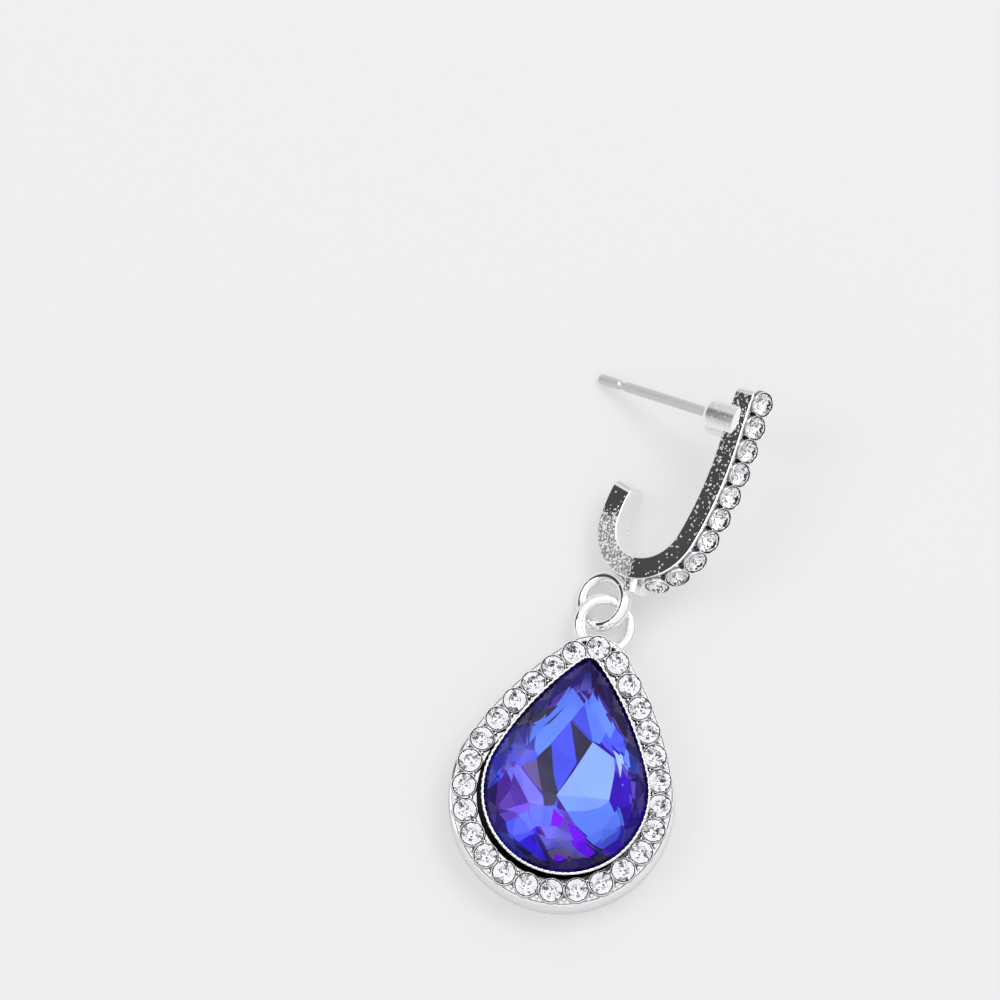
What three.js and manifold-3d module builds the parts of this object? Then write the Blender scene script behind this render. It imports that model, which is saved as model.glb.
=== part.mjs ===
// A drop earring: a J-shaped half hoop set with a row of round crystals, and a teardrop pendant
// whose halo of round crystals surrounds one large pear-cut crystal. It lies on its back.
//
// Millimetres and degrees. +Z is up. The origin is the centre of the pear's round end,
// on the flat back of the pendant, and +Y runs from there to the pendant's tip.

import * as THREE from 'three';
import { mergeVertices } from 'three/addons/utils/BufferGeometryUtils.js';
import { ConvexGeometry } from 'three/addons/geometries/ConvexGeometry.js';
import Module from 'manifold-3d';

const wasm = await Module();
wasm.setup();

// The pear crystal
const pearWidth = 13;
const pearLength = 17.4;
const pearTipRadius = 0.9;
const pearShoulderAngle = 22;
const pearCrownHeight = 2.0;
const pearPavilionDepth = 1.3;
const pearTableShare = 0.68;
const pearBackShare = 0.78;
const pearBackLevel = 0.65;
const pearKeelShare = 0.16;

// The round crystals, alike in the halo and on the ear hook
const roundDiameter = 1.84;
const roundCrownHeight = 0.36;
const roundPavilionDepth = 0.8;
const roundTableShare = 0.56;
const seatClearance = 0.035;
const seatFloorShare = 0.3;
const settingWall = 0.13;
const girdleSink = 0.08;

// The halo casting
const haloStoneGap = 0.2;
const haloInnerWall = 0.125;
const haloOuterWall = 0.145;
const haloCavityOffset = 0.22;
const haloWallHeight = 3.15;
const haloSettingHeight = 0.6;
const haloFlare = 0.12;
const backThickness = 0.8;
const backChamfer = 0.25;

// The cup that carries the pear crystal
const cupWall = 0.16;
const cupShiftX = 0.3;
const cupShiftY = 0.08;
const cupTurn = 3.4;
const cupSeatClearance = 0.06;
const cupFloor = 0.54;
const cupHollowHeight = 2.0;
const cupRimHeight = 0.3;
const cupBaseShare = 0.7;
const cupFootShare = 0.62;
const cupHollowShare = 0.76;

// The ring on the pendant's tip
const ringRadius = 2.1;
const ringWire = 0.95;
const ringRoot = 0.9;
const ringLift = 0.76;
const ringTwist = 10;

// The ear hook, one bar bent in a flat J
const barSide = 0.23;
const barThickness = 1.8;
const barCorner = 0.2;
const endRoundShare = 0.4;
const barTop = 0.95;
const barStraight = 4.0;
const easeRadius = 30;
const easeTurn = 15.5;
const bendRadius = 4.5;
const heelRadius = 3.3;
const tailRadius = 12;
const tailTurn = 15;
const hookStoneGap = 0.12;
const hookStoneTilt = 15;
const hookStoneShift = 0.1;
const hookSettingHeight = 0.55;
const hookSettingRoot = 0.3;
const lastStoneTurn = 72;

// The eye at the foot of the hook, and the small block beside it
const eyeRadius = 2.0;
const eyeWire = 1.05;
const eyeSetBack = 2.1;
const eyeDrop = 0.2;
const blockLength = 1.2;
const blockWidth = 1.9;
const blockHeight = 1.1;
const blockTurn = 86;

// The straight post and the round boss that holds it
const bossDiameter = 3.2;
const bossLength = 2.3;
const bossRound = 0.7;
const postDrop = 1.85;
const postTurn = 2.5;
const postDiameter = 0.8;
const postLength = 11.2;
const postSocket = 1.8;
const postClearance = 0.05;
const grooveFromTip = 2.35;
const grooveLength = 0.7;
const grooveDepth = 0.12;
const postTipRound = 0.16;

// How the hook lies: on its eye and on the post's tip
const hookLean = -31.5;
const hookPitchAngle = 4.3;
const hookTurn = -7.3;
const linkSlack = 0.15;
const linkShift = -0.55;

// How finely curves are divided
const pearArcSteps = [16, 12, 4];
const backCornerStep = 4;
const roundSides = 16;
const wireSides = 8;
const wireSteps = 24;
const hookSteps = [1, 6, 8, 8, 3];

const radians = THREE.MathUtils.degToRad;

const platedWhite = { color: 0xe8e8ec, roughness: 0.12, metalness: 1 };
const steelGrey = { color: 0x9c9c9e, roughness: 0.35, metalness: 1 };
const clearCrystal = { color: 0xf6f6fa, roughness: 0.03, metalness: 0 };
const blueCrystal = { color: 0x3a35c8, roughness: 0.03, metalness: 0 };

function piece(name, geometry, finish) {
  const mesh = new THREE.Mesh(geometry, new THREE.MeshStandardMaterial(finish));
  mesh.name = name;
  return mesh;
}

// Gives a geometry shared vertices, no empty triangles, and faces that point out.
function closed(geometry) {
  geometry.deleteAttribute('normal');
  geometry.deleteAttribute('uv');
  const merged = mergeVertices(geometry, 1e-4);
  const position = merged.attributes.position;
  const faces = [];
  let volume = 0;
  const a = new THREE.Vector3();
  const b = new THREE.Vector3();
  const c = new THREE.Vector3();
  for (let i = 0; i < merged.index.count; i += 3) {
    const [p, q, r] = [0, 1, 2].map((k) => merged.index.getX(i + k));
    if (p === q || q === r || r === p) continue;
    faces.push([p, q, r]);
    a.fromBufferAttribute(position, p);
    b.fromBufferAttribute(position, q);
    c.fromBufferAttribute(position, r);
    volume += a.dot(b.cross(c));
  }
  const order = volume < 0 ? faces.map(([p, q, r]) => [p, r, q]) : faces;
  merged.setIndex(order.flat());
  return merged;
}

// Lofts through rings of points that have as many points each, and caps both ends.
function loft(rings) {
  const count = rings[0].length;
  const faces = [];
  for (let r = 0; r < rings.length - 1; r += 1) {
    for (let i = 0; i < count; i += 1) {
      const near = r * count + i;
      const next = r * count + ((i + 1) % count);
      faces.push(near, next, next + count, near, next + count, near + count);
    }
  }
  const last = (rings.length - 1) * count;
  for (let i = 1; i < count - 1; i += 1) {
    faces.push(0, i + 1, i);
    faces.push(last, last + i, last + i + 1);
  }
  const geometry = new THREE.BufferGeometry().setFromPoints(rings.flat());
  geometry.setIndex(faces);
  return closed(geometry);
}

function solid(geometry, matrix = new THREE.Matrix4()) {
  const placed = closed(geometry.clone().applyMatrix4(matrix));
  return new wasm.Manifold(new wasm.Mesh({
    numProp: 3,
    vertProperties: new Float32Array(placed.attributes.position.array),
    triVerts: new Uint32Array(placed.index.array),
  }));
}

// Every few points of a ring.
const every = (ring, step, start = 0) => ring.filter((_, i) => i % step === start);

function surface(body) {
  const mesh = body.getMesh();
  const geometry = new THREE.BufferGeometry();
  geometry.setAttribute('position', new THREE.BufferAttribute(mesh.vertProperties, 3));
  geometry.setIndex(new THREE.BufferAttribute(mesh.triVerts, 1));
  return geometry;
}

function unite(bodies) {
  return bodies.reduce((whole, body) => whole.add(body));
}

// The pear outline: a round end, two side arcs and a small round tip.
// Every arc is offset alike, so a gap or a wall that follows it is even.
const pearRadius = pearWidth / 2;
const pearTip = pearLength - pearRadius;
const shoulder = radians(pearShoulderAngle);

// The right half of the outline as arcs, from the bottom to the tip.
function pearArcs(offset) {
  const tipCentre = pearTip - pearTipRadius;
  const round = pearRadius - pearTipRadius;
  const reach = (tipCentre ** 2 - round ** 2) / (2 * (round - tipCentre * Math.sin(shoulder)));
  const sideX = -reach * Math.cos(shoulder);
  const sideY = -reach * Math.sin(shoulder);
  const sideEnd = Math.atan2(tipCentre - sideY, -sideX);
  return [
    { x: 0, y: 0, radius: pearRadius + offset, from: -Math.PI / 2, to: shoulder },
    { x: sideX, y: sideY, radius: reach + pearRadius + offset, from: shoulder, to: sideEnd },
    { x: 0, y: tipCentre, radius: pearTipRadius + offset, from: sideEnd, to: Math.PI / 2 },
  ];
}

const arcLength = (arc) => arc.radius * (arc.to - arc.from);
const totalLength = (arcs) => arcs.reduce((sum, arc) => sum + arcLength(arc), 0);

// The point at a distance from the bottom.
function alongArcs(arcs, distance) {
  let rest = distance;
  const arc = arcs.find((candidate) => {
    const found = rest <= arcLength(candidate) || candidate === arcs.at(-1);
    if (!found) rest -= arcLength(candidate);
    return found;
  });
  const angle = arc.from + rest / arc.radius;
  return new THREE.Vector2(arc.x + arc.radius * Math.cos(angle), arc.y + arc.radius * Math.sin(angle));
}

// The whole outline at a height, counter-clockwise from the bottom.
function pearRing({ offset = 0, height, share = 1 }) {
  const right = [new THREE.Vector2(0, -pearRadius - offset)];
  pearArcs(0).forEach((arc, index) => {
    for (let i = 1; i <= pearArcSteps[index]; i += 1) {
      const angle = arc.from + ((arc.to - arc.from) * i) / pearArcSteps[index];
      const radius = arc.radius + offset;
      right.push(new THREE.Vector2(arc.x + radius * Math.cos(angle), arc.y + radius * Math.sin(angle)));
    }
  });
  const left = right.slice(1, -1).reverse().map(({ x, y }) => new THREE.Vector2(-x, y));
  return [...right, ...left].map(({ x, y }) => new THREE.Vector3(x * share, y * share, height));
}

// Heights of the pendant, from its back up
const haloRimTop = haloWallHeight + haloSettingHeight;
const haloGirdle = haloRimTop - girdleSink;
const cupBase = backThickness + cupSeatClearance;
const cupHollowTop = cupBase + cupHollowHeight;
const pearGirdle = cupHollowTop + cupFloor + cupSeatClearance + pearPavilionDepth;
const cupRim = pearGirdle + cupRimHeight;

// Distances out from the pear crystal's edge
const seatRadius = roundDiameter / 2 + seatClearance;
const haloOffset = haloCavityOffset + haloInnerWall + seatRadius;
const outerOffset = haloOffset + seatRadius + haloOuterWall;
const ringCentreY = pearTip + outerOffset + ringRadius - ringRoot;
const barWidth = roundDiameter + 2 * barSide;

// A round brilliant with an octagonal table, sixteen girdle corners and a pointed back.
// The origin is at the girdle and the table looks along +Z.
function roundStone(spin) {
  const ring = (count, radius, height, turn) => Array.from({ length: count }, (_, i) => {
    const angle = spin + turn + (2 * Math.PI * i) / count;
    return new THREE.Vector3(radius * Math.cos(angle), radius * Math.sin(angle), height);
  });
  const radius = roundDiameter / 2;
  return closed(new ConvexGeometry([
    ...ring(8, radius * roundTableShare, roundCrownHeight, 0),
    ...ring(16, radius, 0, 0),
    new THREE.Vector3(0, 0, -roundPavilionDepth),
  ]));
}

// The room that a round stone needs in its setting, open above.
function roundSeat(rise) {
  const radius = seatRadius / Math.cos(Math.PI / roundSides);
  const depth = roundPavilionDepth + 3 * seatClearance;
  const profile = [
    new THREE.Vector2(0, -depth),
    new THREE.Vector2(radius * seatFloorShare, -depth),
    new THREE.Vector2(radius, -2 * seatClearance),
    new THREE.Vector2(radius, rise),
    new THREE.Vector2(0, rise),
  ];
  return new THREE.LatheGeometry(profile, roundSides).rotateX(Math.PI / 2);
}

// The small round cup wall that rises round each stone and scallops the rim.
function roundSetting(height) {
  const radius = seatRadius + settingWall;
  const wall = new THREE.CylinderGeometry(radius, radius, height, roundSides).rotateX(Math.PI / 2);
  return wall.translate(0, 0, girdleSink - height / 2);
}

// Halo stones
// One stone at the tip and the rest in pairs, evenly spaced along the offset outline.
function haloPlaces() {
  const arcs = pearArcs(haloOffset);
  const half = totalLength(arcs);
  const pairs = Math.round((2 * half / (roundDiameter + haloStoneGap) - 1) / 2);
  const count = 2 * pairs + 1;
  const pitch = (2 * half) / count;
  return Array.from({ length: count }, (_, i) => {
    const side = i > pairs ? -1 : 1;
    const steps = i > pairs ? count - i : i;
    const point = alongArcs(arcs, half - steps * pitch);
    return new THREE.Vector3(side * point.x, point.y, haloGirdle);
  });
}

// The ring on the tip, turned a little about the pendant's axis so that it clears the eye.
function tipRing() {
  const torus = new THREE.TorusGeometry(ringRadius, ringWire / 2, wireSides, wireSteps);
  torus.rotateY(radians(ringTwist));
  const height = ringRadius * Math.sin(radians(ringTwist)) + ringWire / 2 + ringLift;
  return torus.translate(0, ringCentreY, height);
}

// The foot of the halo casting. The edge of its back is chamfered down to a rim with fewer corners.
function haloFoot() {
  const rim = pearRing({ offset: outerOffset + haloFlare - backChamfer, height: 0 });
  return new ConvexGeometry([
    ...every(rim, backCornerStep),
    ...pearRing({ offset: outerOffset + haloFlare, height: backChamfer }),
    ...pearRing({ offset: outerOffset, height: backThickness }),
  ]);
}

// The halo casting: a foot and wall, a setting for each stone, and the ring.
function haloFrame(places) {
  const body = solid(loft([
    pearRing({ offset: outerOffset + haloFlare, height: backChamfer }),
    pearRing({ offset: outerOffset, height: haloWallHeight }),
    pearRing({ offset: haloCavityOffset, height: haloWallHeight }),
    pearRing({ offset: haloCavityOffset, height: backThickness }),
  ]));
  const setting = roundSetting(haloSettingHeight + settingWall);
  const seat = roundSeat(haloRimTop);
  const cavity = solid(loft([
    pearRing({ offset: haloCavityOffset, height: backThickness }),
    pearRing({ offset: haloCavityOffset, height: 2 * haloRimTop }),
  ]));
  const at = (point) => new THREE.Matrix4().setPosition(point);
  const settings = unite(places.map((point) => solid(setting, at(point))));
  const seats = unite(places.map((point) => solid(seat, at(point))));
  const casting = unite([body, solid(haloFoot()), settings]).subtract(cavity);
  return surface(casting.add(solid(tipRing())).subtract(seats));
}

// The cup: a hollow foot, an outer wall, a thin rim above the girdle, and a pocket for the crystal.
function stoneCup() {
  const pocket = cupSeatClearance;
  const below = (level) => pearGirdle - pearPavilionDepth * level - pocket;
  return loft([
    pearRing({ offset: cupWall, height: cupHollowTop, share: cupHollowShare }),
    pearRing({ offset: cupWall, height: cupBase, share: cupFootShare }),
    pearRing({ offset: cupWall, height: cupBase, share: cupBaseShare }),
    pearRing({ offset: cupWall + cupSeatClearance, height: cupRim - 2 * cupRimHeight }),
    pearRing({ offset: cupWall + cupSeatClearance, height: cupRim }),
    pearRing({ offset: pocket, height: cupRim }),
    pearRing({ offset: pocket, height: pearGirdle - pocket }),
    pearRing({ offset: pocket, height: below(pearBackLevel), share: pearBackShare }),
    pearRing({ offset: pocket, height: below(1), share: pearKeelShare }),
  ]);
}

// The pear crystal: a table, a row of crown corners, the girdle, and a back that runs to a keel.
// The origin is at the girdle's height.
function pearStone() {
  const crownLevel = 0.62;
  const crownShare = 0.87;
  return closed(new ConvexGeometry([
    ...every(pearRing({ height: pearCrownHeight, share: pearTableShare }), 4),
    ...every(pearRing({ height: pearCrownHeight * crownLevel, share: crownShare }), 4, 2),
    ...every(pearRing({ height: 0 }), 2),
    ...every(pearRing({ height: -pearPavilionDepth * pearBackLevel, share: pearBackShare }), 4, 2),
    ...every(pearRing({ height: -pearPavilionDepth, share: pearKeelShare }), 8),
  ]));
}

// The hook's bent centre line
// Heading starts straight down (-Y) and turns towards the post's side (-X).
// The outer face, which carries the stones, lies on the left of the heading.
const bendTurn = 90 - easeTurn;
const hookSegments = [
  { length: barTop + barStraight },
  { radius: easeRadius, turn: radians(easeTurn) },
  { radius: bendRadius, turn: radians(bendTurn) },
  { radius: heelRadius, turn: radians(90) },
  { radius: tailRadius, turn: radians(tailTurn) },
];

const segmentLength = (segment, offset) => segment.length ?? (segment.radius + offset) * segment.turn;
const hookLength = (offset) => hookSegments.reduce((sum, part) => sum + segmentLength(part, offset), 0);

// The place at a distance along a line that runs beside the centre line at an offset.
function alongHook(distance, offset = 0) {
  const place = { point: new THREE.Vector3(0, barTop, 0), heading: 0 };
  let rest = distance;
  for (const segment of hookSegments) {
    const share = Math.min(1, rest / segmentLength(segment, offset));
    const outward = new THREE.Vector3(Math.cos(place.heading), -Math.sin(place.heading), 0);
    if (segment.length) {
      place.point.y -= segment.length * share;
    } else {
      const centre = place.point.clone().addScaledVector(outward, -segment.radius);
      place.heading += segment.turn * share;
      outward.set(Math.cos(place.heading), -Math.sin(place.heading), 0);
      place.point = centre.addScaledVector(outward, segment.radius);
    }
    rest -= segmentLength(segment, offset) * share;
    if (rest <= 0) break;
  }
  place.outward = new THREE.Vector3(Math.cos(place.heading), -Math.sin(place.heading), 0);
  place.point.addScaledVector(place.outward, offset);
  return place;
}

// The bar's section at a place, with round corners, shrunk at the two ends.
function barSection({ point, outward }, shrink) {
  const shape = [];
  const corners = [[1, 1, 0], [-1, 1, 1], [-1, -1, 2], [1, -1, 3]];
  for (const [side, across, quarter] of corners) {
    for (const step of [0, 0.5, 1]) {
      const angle = (Math.PI / 2) * (quarter + step);
      const out = side * (barThickness / 2 - barCorner) + barCorner * Math.cos(angle);
      const wide = across * (barWidth / 2 - barCorner) + barCorner * Math.sin(angle);
      shape.push(point.clone().addScaledVector(outward, out * shrink).setZ(wide * shrink));
    }
  }
  return shape;
}

// Each end is rounded over a short stretch, in two smaller sections.
const endRounding = [
  { inward: 0, shrink: 0.5 },
  { inward: 0.35, shrink: 0.85 },
  { inward: 1, shrink: 1 },
];

function hookBar() {
  const total = hookLength(0);
  const round = barThickness * endRoundShare;
  const sections = endRounding.map(({ inward, shrink }) => [round * inward, shrink]);
  let start = 0;
  hookSegments.forEach((segment, index) => {
    const length = segmentLength(segment, 0);
    for (let i = 1; i <= hookSteps[index]; i += 1) {
      const distance = start + (length * i) / hookSteps[index];
      if (distance < total - round) sections.push([distance, 1]);
    }
    start += length;
  });
  [...endRounding].reverse().forEach(({ inward, shrink }) => {
    sections.push([total - round * inward, shrink]);
  });
  return loft(sections.map(([distance, shrink]) => barSection(alongHook(distance), shrink)));
}

// Stones on the outer face, from the top of the bar round to the bend.
const hookGirdleOffset = barThickness / 2 + hookSettingHeight - girdleSink;

function hookPlaces() {
  const first = barTop;
  const bend = hookSegments[2];
  const upToBend = barTop + barStraight + segmentLength(hookSegments[1], hookGirdleOffset);
  const inBend = (bend.radius + hookGirdleOffset) * (radians(lastStoneTurn) - radians(easeTurn));
  const pitch = roundDiameter + hookStoneGap;
  const count = Math.round((upToBend + inBend - first) / pitch) + 1;
  return Array.from({ length: count }, (_, i) => alongHook(first + i * pitch, hookGirdleOffset));
}

// Turns a piece's own +Z to the outward direction of its place, tilted towards the hook's front.
function facingOut({ point, heading }, tilt = 0) {
  const turn = new THREE.Euler(0, Math.PI / 2 - radians(tilt), -heading, 'ZYX');
  return new THREE.Matrix4().makeRotationFromEuler(turn).setPosition(point);
}

function hookSettingPlace({ point, heading }) {
  return facingOut({ point: point.clone().setZ(hookStoneShift), heading }, hookStoneTilt);
}

// The lowest place of the bend, where the eye hangs
const bendBottom = alongHook(barTop + barStraight + segmentLength(hookSegments[1], 0)
  + segmentLength(hookSegments[2], 0)).point;
const eyeCentre = new THREE.Vector3(
  bendBottom.x - eyeSetBack,
  bendBottom.y - barThickness / 2 - eyeDrop - eyeRadius,
  0,
);

// The boss and the post lie along -X, then they are turned a little towards the top.
const postY = -postDrop;
const bossFace = -barThickness / 2 - bossLength;
const alongPost = (geometry) => geometry.rotateZ(-radians(postTurn)).translate(0, postY, 0);

function boss() {
  const radius = bossDiameter / 2;
  const end = barThickness / 2 + bossLength;
  const corner = 1 - Math.SQRT1_2;
  const profile = [
    new THREE.Vector2(0, 0),
    new THREE.Vector2(radius, 0),
    new THREE.Vector2(radius, end - bossRound),
    new THREE.Vector2(radius - bossRound * corner, end - bossRound * corner),
    new THREE.Vector2(radius - bossRound, end),
    new THREE.Vector2(0, end),
  ];
  return alongPost(new THREE.LatheGeometry(profile, roundSides).rotateZ(Math.PI / 2));
}

function postSeat() {
  const radius = postDiameter / 2 + postClearance;
  const depth = postSocket + postClearance;
  const room = new THREE.CylinderGeometry(radius, radius, 2 * depth, wireSides).rotateZ(Math.PI / 2);
  return alongPost(room.translate(bossFace, 0, 0));
}

function earPost() {
  const radius = postDiameter / 2;
  const length = postSocket + postLength;
  const groove = length - grooveFromTip;
  const profile = [
    new THREE.Vector2(0, 0),
    new THREE.Vector2(radius, 0),
    new THREE.Vector2(radius, groove - grooveLength / 2),
    new THREE.Vector2(radius - grooveDepth, groove - grooveLength / 4),
    new THREE.Vector2(radius - grooveDepth, groove + grooveLength / 4),
    new THREE.Vector2(radius, groove + grooveLength / 2),
    new THREE.Vector2(radius, length - postTipRound),
    new THREE.Vector2(radius - postTipRound, length),
    new THREE.Vector2(0, length),
  ];
  const along = new THREE.LatheGeometry(profile, wireSides).rotateZ(Math.PI / 2);
  return closed(alongPost(along.translate(bossFace + postSocket, 0, 0)));
}

function endBlock() {
  const bend = hookSegments[2];
  const upToBend = barTop + barStraight + segmentLength(hookSegments[1], 0);
  const place = alongHook(upToBend + bend.radius * (radians(blockTurn) - radians(easeTurn)));
  const box = new THREE.BoxGeometry(blockWidth, blockLength, blockHeight + barThickness / 2);
  box.translate(0, 0, (blockHeight + barThickness / 2) / 2);
  return solid(box, facingOut({ point: place.point, heading: place.heading }));
}

function earHook(places) {
  const setting = roundSetting(hookSettingHeight + hookSettingRoot);
  const seat = roundSeat(barThickness);
  const eye = new THREE.TorusGeometry(eyeRadius, eyeWire / 2, wireSides, wireSteps);
  eye.translate(eyeCentre.x, eyeCentre.y, eyeCentre.z);
  const settings = unite(places.map((place) => solid(setting, hookSettingPlace(place))));
  const seats = unite(places.map((place) => solid(seat, hookSettingPlace(place))));
  const casting = unite([solid(hookBar()), solid(boss()), solid(eye), endBlock(), settings]);
  return surface(casting.subtract(seats).subtract(solid(postSeat())));
}

// The assembly
const twoDigits = (number) => String(number).padStart(2, '0');
const goldenTurn = radians(137.5);

const haloCentres = haloPlaces();
const pendant = new THREE.Group();
pendant.add(piece('halo_frame', haloFrame(haloCentres), platedWhite));

// The cup sits a little off centre and askew, so the gap round it is widest at the lower left.
const centre = new THREE.Group();
centre.position.set(cupShiftX, cupShiftY, 0);
centre.rotation.z = radians(cupTurn);
centre.add(piece('stone_cup', stoneCup(), platedWhite));
const pear = piece('pear_stone', pearStone(), blueCrystal);
pear.position.z = pearGirdle;
centre.add(pear);
pendant.add(centre);

haloCentres.forEach((point, i) => {
  const stone = piece(`halo_stone_${twoDigits(i + 1)}`, roundStone(i * goldenTurn), clearCrystal);
  stone.position.copy(point);
  pendant.add(stone);
});

const hook = new THREE.Group();
const hookStonePlaces = hookPlaces();
hook.add(piece('ear_hook', earHook(hookStonePlaces), platedWhite));
hook.add(piece('ear_post', earPost(), steelGrey));
hookStonePlaces.forEach((place, i) => {
  const stone = piece(`hook_stone_${twoDigits(i + 1)}`, roundStone(i * goldenTurn), clearCrystal);
  stone.applyMatrix4(hookSettingPlace(place));
  hook.add(stone);
});

// The eye goes through the pendant's ring, and its lowest point touches the surface.
hook.rotation.set(radians(hookPitchAngle), radians(hookLean), radians(hookTurn), 'YXZ');
const inPose = new THREE.Matrix4().makeRotationFromEuler(hook.rotation).elements;
const eyeHeight = eyeRadius * Math.hypot(inPose[2], inPose[6]) + eyeWire / 2;
const eyeInPose = eyeCentre.clone().applyEuler(hook.rotation);
const linkReach = (ringRadius + eyeRadius) / 2 - linkSlack;
hook.position.set(linkShift, ringCentreY + linkReach, eyeHeight).sub(eyeInPose);

const earring = new THREE.Group();
earring.add(pendant, hook);

export default earring;
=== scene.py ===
# %% [markdown]
# A teardrop earring on a pale table
#
# The earring has a J-shaped half hoop with a post, and a teardrop pendant linked to its foot.
# Two things make such a jewel look right. Bright plated metal only shows what is around it, so the
# studio matters as much as the metal. Cut crystals sit on a mirror, a thin foil on their backs, and
# the light goes in through the front facets, hits the foil facets and comes out again.
# So each crystal here is one closed mesh with two finishes, clear in front and mirror behind.

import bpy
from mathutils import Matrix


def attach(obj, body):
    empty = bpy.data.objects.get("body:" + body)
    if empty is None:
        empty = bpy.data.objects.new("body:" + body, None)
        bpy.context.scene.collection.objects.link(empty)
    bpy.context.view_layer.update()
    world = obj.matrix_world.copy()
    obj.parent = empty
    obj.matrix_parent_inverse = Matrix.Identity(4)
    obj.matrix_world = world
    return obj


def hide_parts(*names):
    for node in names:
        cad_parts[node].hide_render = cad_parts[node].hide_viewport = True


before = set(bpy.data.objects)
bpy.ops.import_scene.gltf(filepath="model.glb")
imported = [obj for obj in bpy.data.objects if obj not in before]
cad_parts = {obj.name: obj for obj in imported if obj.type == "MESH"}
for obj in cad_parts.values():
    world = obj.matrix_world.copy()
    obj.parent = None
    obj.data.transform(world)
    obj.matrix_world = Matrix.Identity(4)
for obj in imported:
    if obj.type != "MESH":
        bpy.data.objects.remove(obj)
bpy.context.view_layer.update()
print("the packed model has", len(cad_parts), "nodes")

# %% Blender's own modules
import math

import bmesh
import bpy
from mathutils import Matrix, Vector
from mathutils.geometry import delaunay_2d_cdt

scene = bpy.context.scene

# %% [markdown]
# Sizes
#
# The finer meshes repeat the construction's own sizes, in millimetres, so that each one stands
# exactly where its plain solid stands. Each size is named in the cell that first needs it. Lengths
# turn into metres only when a mesh is made.

# %% Millimetres to metres
MM = 0.001
print("one millimetre is", MM, "metres")

# %% [markdown]
# The camera
#
# The picture is taken from almost straight above with a long lens, so the outlines hardly converge.

# %% Camera
CAMERA_AZIMUTH = math.radians(13.8)
CAMERA_HEIGHT = math.radians(78)
CAMERA_DISTANCE = 1.0
CAMERA_AIM = Vector((-10.65, 22.76, 0.0)) * MM
FOCAL_LENGTH = 450
SENSOR_WIDTH = 36


def make_camera():
    away = Vector((
        math.sin(CAMERA_AZIMUTH) * math.cos(CAMERA_HEIGHT),
        -math.cos(CAMERA_AZIMUTH) * math.cos(CAMERA_HEIGHT),
        math.sin(CAMERA_HEIGHT),
    ))
    lens = bpy.data.cameras.new("long_lens")
    lens.sensor_width = SENSOR_WIDTH
    lens.lens = FOCAL_LENGTH
    lens.clip_start = 0.01
    lens.clip_end = 20
    camera = bpy.data.objects.new("camera", lens)
    camera.location = CAMERA_AIM + away * CAMERA_DISTANCE
    camera.rotation_euler = away.to_track_quat("Z", "Y").to_euler()
    scene.collection.objects.link(camera)
    scene.camera = camera
    return camera


camera = make_camera()
print("camera at", [round(v, 3) for v in camera.location])

# %% [markdown]
# The studio
#
# A white tent stands overhead, with a greyer band near the horizon and one dark flag on the left.
# Polished metal that faces up is white. The flat side of the hook leans to the left, mirrors the
# flag and turns charcoal, which draws its shape. The flag also gives the crystals a few dark facets;
# more are painted shade on their foil. Without dark facets they would look like milk.

# %% Tent and dark flag
TENT_BANDS = ((0.0, 0.75), (0.12, 0.55), (0.3, 0.65), (0.5, 0.92), (0.9, 1.0))
FLAG_TOWARD = Vector((-0.905, 0.06, 0.42)).normalized()
FLAG_EDGE = (math.radians(24), math.radians(17))
FLAG_TONE = 0.08


def make_tent():
    world = bpy.data.worlds.new("tent")
    world.use_nodes = True
    tree = world.node_tree
    background = tree.nodes["Background"]
    where = tree.nodes.new("ShaderNodeTexCoord")
    split = tree.nodes.new("ShaderNodeSeparateXYZ")
    ramp = tree.nodes.new("ShaderNodeValToRGB")
    stops = ramp.color_ramp.elements
    stops.remove(stops[1])
    for position, tone in TENT_BANDS:
        stop = stops[0] if position == 0 else stops.new(position)
        stop.position = position
        stop.color = (tone, tone, tone * 1.01, 1)
    flag = tree.nodes.new("ShaderNodeVectorMath")
    flag.operation = "DOT_PRODUCT"
    flag.inputs[1].default_value = FLAG_TOWARD
    cloth = tree.nodes.new("ShaderNodeMapRange")
    cloth.interpolation_type = "SMOOTHSTEP"
    cloth.inputs["From Min"].default_value = math.cos(FLAG_EDGE[0])
    cloth.inputs["From Max"].default_value = math.cos(FLAG_EDGE[1])
    cloth.inputs["To Min"].default_value = 1.0
    cloth.inputs["To Max"].default_value = FLAG_TONE
    lit = tree.nodes.new("ShaderNodeVectorMath")
    lit.operation = "SCALE"
    tree.links.new(where.outputs["Generated"], split.inputs[0])
    tree.links.new(where.outputs["Generated"], flag.inputs[0])
    tree.links.new(split.outputs["Z"], ramp.inputs["Fac"])
    tree.links.new(flag.outputs["Value"], cloth.inputs["Value"])
    tree.links.new(ramp.outputs["Color"], lit.inputs[0])
    tree.links.new(cloth.outputs["Result"], lit.inputs["Scale"])
    tree.links.new(lit.outputs["Vector"], background.inputs["Color"])
    background.inputs["Strength"].default_value = 1.0
    scene.world = world
    return world


tent = make_tent()
print("the", tent.name, "has", len(TENT_BANDS), "bands and one dark flag")


# %% Softboxes
def make_softbox(name, place, size, watts):
    lamp = bpy.data.lights.new(name, "AREA")
    lamp.shape = "RECTANGLE"
    lamp.size, lamp.size_y = size
    lamp.energy = watts
    softbox = bpy.data.objects.new(name, lamp)
    softbox.location = place
    softbox.rotation_euler = Vector(place).to_track_quat("Z", "Y").to_euler()
    scene.collection.objects.link(softbox)


make_softbox("softbox_above", (0.25, 0.35, 0.75), (0.5, 0.35), 2.0)
make_softbox("softbox_left", (-0.55, -0.05, 0.62), (0.3, 0.5), 1.0)
scene.view_settings.view_transform = "Standard"
print("the tent and two softboxes stand")

# %% [markdown]
# Meshes from points
#
# Every piece is written as lists of points and faces, because a jewel is made of exact profiles:
# a lathe for the round settings, a loft along the pear outline for the walls, and a sweep along the
# bent bar. One small helper collects them, so that a casting can hold many such shells in one mesh.


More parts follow.
